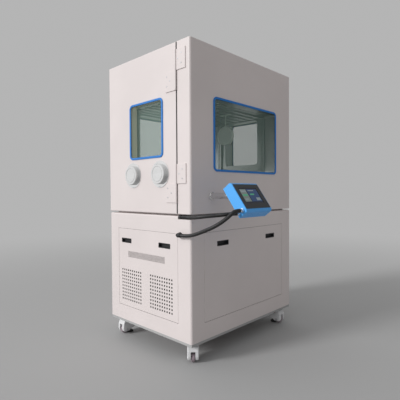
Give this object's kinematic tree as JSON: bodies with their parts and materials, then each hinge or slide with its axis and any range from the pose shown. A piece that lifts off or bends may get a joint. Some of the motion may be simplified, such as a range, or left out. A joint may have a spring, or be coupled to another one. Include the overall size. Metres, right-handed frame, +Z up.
{
  "type": "environmental test chamber",
  "caption": "Free-standing climatic test chamber with a side-hung door, gasketed windows, door ports, lift-off machine panels, tilting control head and levelling casters.",
  "frame": {"origin": "on the floor, under the middle of the whole part without its two conduits", "axes": "+Z up; the long window side faces -Y, the door side faces -X"},
  "size_m": [1.1502, 1.151, 1.82],
  "materials": {
    "casing_paint": "fine textured powder coat",
    "frame_paint": "satin paint",
    "foam": "rigid foam",
    "stainless": "brushed",
    "glass": "clear",
    "blue_rubber": "satin",
    "grey_rubber": "matt",
    "motor_paint": "satin",
    "aluminium": "mill finish",
    "dial_white": "satin",
    "chrome": "polished",
    "black_plastic": "fine grain",
    "blue_paint": "gloss",
    "screen_plastic": "gloss",
    "blue_plastic": "gloss",
    "conduit_plastic": "corrugated",
    "zinc": "zinc plated",
    "caster_alloy": "die cast",
    "wheel_nylon": "satin",
    "foot_rubber": "matt"
  },
  "bodies": {
    "root": {"base_frame": "frame_paint", "lower_casing": "casing_paint", "upper_casing": "casing_paint", "insulation": "foam", "chamber_liner": "stainless", "window_reveals": "stainless", "window_glass": "glass", "window_gaskets": "blue_rubber", "ceiling_baffle": "stainless", "shelf_uprights": "stainless", "wire_shelf": "stainless", "fan_motor": "motor_paint", "evaporator_coil": "aluminium", "heater_coil": "stainless", "hanging_dial": "dial_white", "hinge_frame_leaves": "casing_paint", "latch_base": "chrome", "compressor": "motor_paint", "condenser": "aluminium", "electrical_box": "frame_paint", "humidifier": "stainless", "control_arm": "chrome", "wall_glands": "black_plastic", "conduit_upper": "conduit_plastic", "conduit_lower": "conduit_plastic", "caster_plates": "zinc"},
    "door": {"door_skin": "casing_paint", "door_insulation": "foam", "door_liner": "stainless", "door_seal": "grey_rubber", "door_window_glass": "glass", "door_window_gasket": "blue_rubber", "port_sleeves": "stainless", "hinge_door_leaves": "casing_paint", "latch_strike": "chrome"},
    "port_cap_left_body": {"port_cap_left": "chrome"},
    "port_cap_right_body": {"port_cap_right": "chrome"},
    "latch": {"latch_lever": "chrome"},
    "left_panel": {"service_panel_left": "casing_paint", "panel_pulls_left": "black_plastic"},
    "front_panel": {"service_panel_front": "casing_paint", "panel_pulls_front": "black_plastic"},
    "circulation_rotor": {"circulation_fan": "aluminium"},
    "condenser_rotor": {"condenser_fan": "black_plastic"},
    "head": {"control_housing": "blue_paint", "control_screen": "screen_plastic", "head_glands": "chrome"},
    "knob": {"tilt_knob": "blue_plastic"},
    "caster_front_left": {"caster_yoke_front_left": "caster_alloy"},
    "wheel_front_left": {"caster_wheel_front_left": "wheel_nylon"},
    "foot_front_left": {"levelling_foot_front_left": "foot_rubber"},
    "caster_front_right": {"caster_yoke_front_right": "caster_alloy"},
    "wheel_front_right": {"caster_wheel_front_right": "wheel_nylon"},
    "foot_front_right": {"levelling_foot_front_right": "foot_rubber"},
    "caster_back_left": {"caster_yoke_back_left": "caster_alloy"},
    "wheel_back_left": {"caster_wheel_back_left": "wheel_nylon"},
    "foot_back_left": {"levelling_foot_back_left": "foot_rubber"},
    "caster_back_right": {"caster_yoke_back_right": "caster_alloy"},
    "wheel_back_right": {"caster_wheel_back_right": "wheel_nylon"},
    "foot_back_right": {"levelling_foot_back_right": "foot_rubber"}
  },
  "joints": [
    {"name": "door_swing", "type": "hinge", "parent": "root", "child": "door", "pos_m": [-0.52075, -0.132, 1.334], "axis": [0, 0, 1], "range_deg": [0, 105]},
    {"name": "port_cap_left_pull", "type": "slide", "parent": "door", "child": "port_cap_left_body", "axis": [-1, 0, 0], "range_m": [0, 0.15]},
    {"name": "port_cap_right_pull", "type": "slide", "parent": "door", "child": "port_cap_right_body", "axis": [-1, 0, 0], "range_m": [0, 0.15]},
    {"name": "latch_turn", "type": "hinge", "parent": "root", "child": "latch", "pos_m": [-0.39675, 0.5475, 1.334], "axis": [0, -1, 0], "range_deg": [0, 90]},
    {"name": "panel_left_pull", "type": "slide", "parent": "root", "child": "left_panel", "axis": [-1, 0, 0], "range_m": [0, 0.06]},
    {"name": "panel_front_pull", "type": "slide", "parent": "root", "child": "front_panel", "axis": [0, -1, 0], "range_m": [0, 0.06]},
    {"name": "circulation_fan_spin", "type": "hinge", "parent": "root", "child": "circulation_rotor", "pos_m": [-0.21475, 0.1525, 1.609], "axis": [0, 0, 1], "continuous": true},
    {"name": "condenser_fan_spin", "type": "hinge", "parent": "root", "child": "condenser_rotor", "pos_m": [0.35725, 0.1525, 0.42], "axis": [1, 0, 0], "continuous": true},
    {"name": "head_tilt", "type": "hinge", "parent": "root", "child": "head", "pos_m": [-0.34475, -0.489, 0.951], "axis": [1, 0, 0], "range_deg": [-15, 15], "deforming": ["conduit_upper", "conduit_lower"]},
    {"name": "tilt_knob_turn", "type": "hinge", "parent": "head", "child": "knob", "pos_m": [-0.21475, -0.489, 0.951], "axis": [1, 0, 0], "continuous": true},
    {"name": "swivel_front_left", "type": "hinge", "parent": "root", "child": "caster_front_left", "pos_m": [-0.43275, -0.1705, 0.1], "axis": [0, 0, 1], "continuous": true},
    {"name": "wheel_roll_front_left", "type": "hinge", "parent": "caster_front_left", "child": "wheel_front_left", "pos_m": [-0.45113, -0.18888, 0.029], "axis": [-0.7071, 0.7071, 0], "continuous": true},
    {"name": "foot_screw_front_left", "type": "slide", "parent": "caster_front_left", "child": "foot_front_left", "axis": [0, 0, 1], "range_m": [0, 0.006]},
    {"name": "swivel_front_right", "type": "hinge", "parent": "root", "child": "caster_front_right", "pos_m": [0.44325, -0.1705, 0.1], "axis": [0, 0, 1], "continuous": true},
    {"name": "wheel_roll_front_right", "type": "hinge", "parent": "caster_front_right", "child": "wheel_front_right", "pos_m": [0.44325, -0.1965, 0.029], "axis": [-1, 0, 0], "continuous": true},
    {"name": "foot_screw_front_right", "type": "slide", "parent": "caster_front_right", "child": "foot_front_right", "axis": [0, 0, 1], "range_m": [0, 0.006]},
    {"name": "swivel_back_left", "type": "hinge", "parent": "root", "child": "caster_back_left", "pos_m": [-0.43275, 0.4755, 0.1], "axis": [0, 0, 1], "continuous": true},
    {"name": "wheel_roll_back_left", "type": "hinge", "parent": "caster_back_left", "child": "wheel_back_left", "pos_m": [-0.45875, 0.4755, 0.029], "axis": [0, 1, 0], "continuous": true},
    {"name": "foot_screw_back_left", "type": "slide", "parent": "caster_back_left", "child": "foot_back_left", "axis": [0, 0, 1], "range_m": [0, 0.006]},
    {"name": "swivel_back_right", "type": "hinge", "parent": "root", "child": "caster_back_right", "pos_m": [0.44325, 0.4755, 0.1], "axis": [0, 0, 1], "continuous": true},
    {"name": "wheel_roll_back_right", "type": "hinge", "parent": "caster_back_right", "child": "wheel_back_right", "pos_m": [0.46163, 0.45712, 0.029], "axis": [-0.7071, -0.7071, 0], "continuous": true},
    {"name": "foot_screw_back_right", "type": "slide", "parent": "caster_back_right", "child": "foot_back_right", "axis": [0, 0, 1], "range_m": [0, 0.006]}
  ]
}
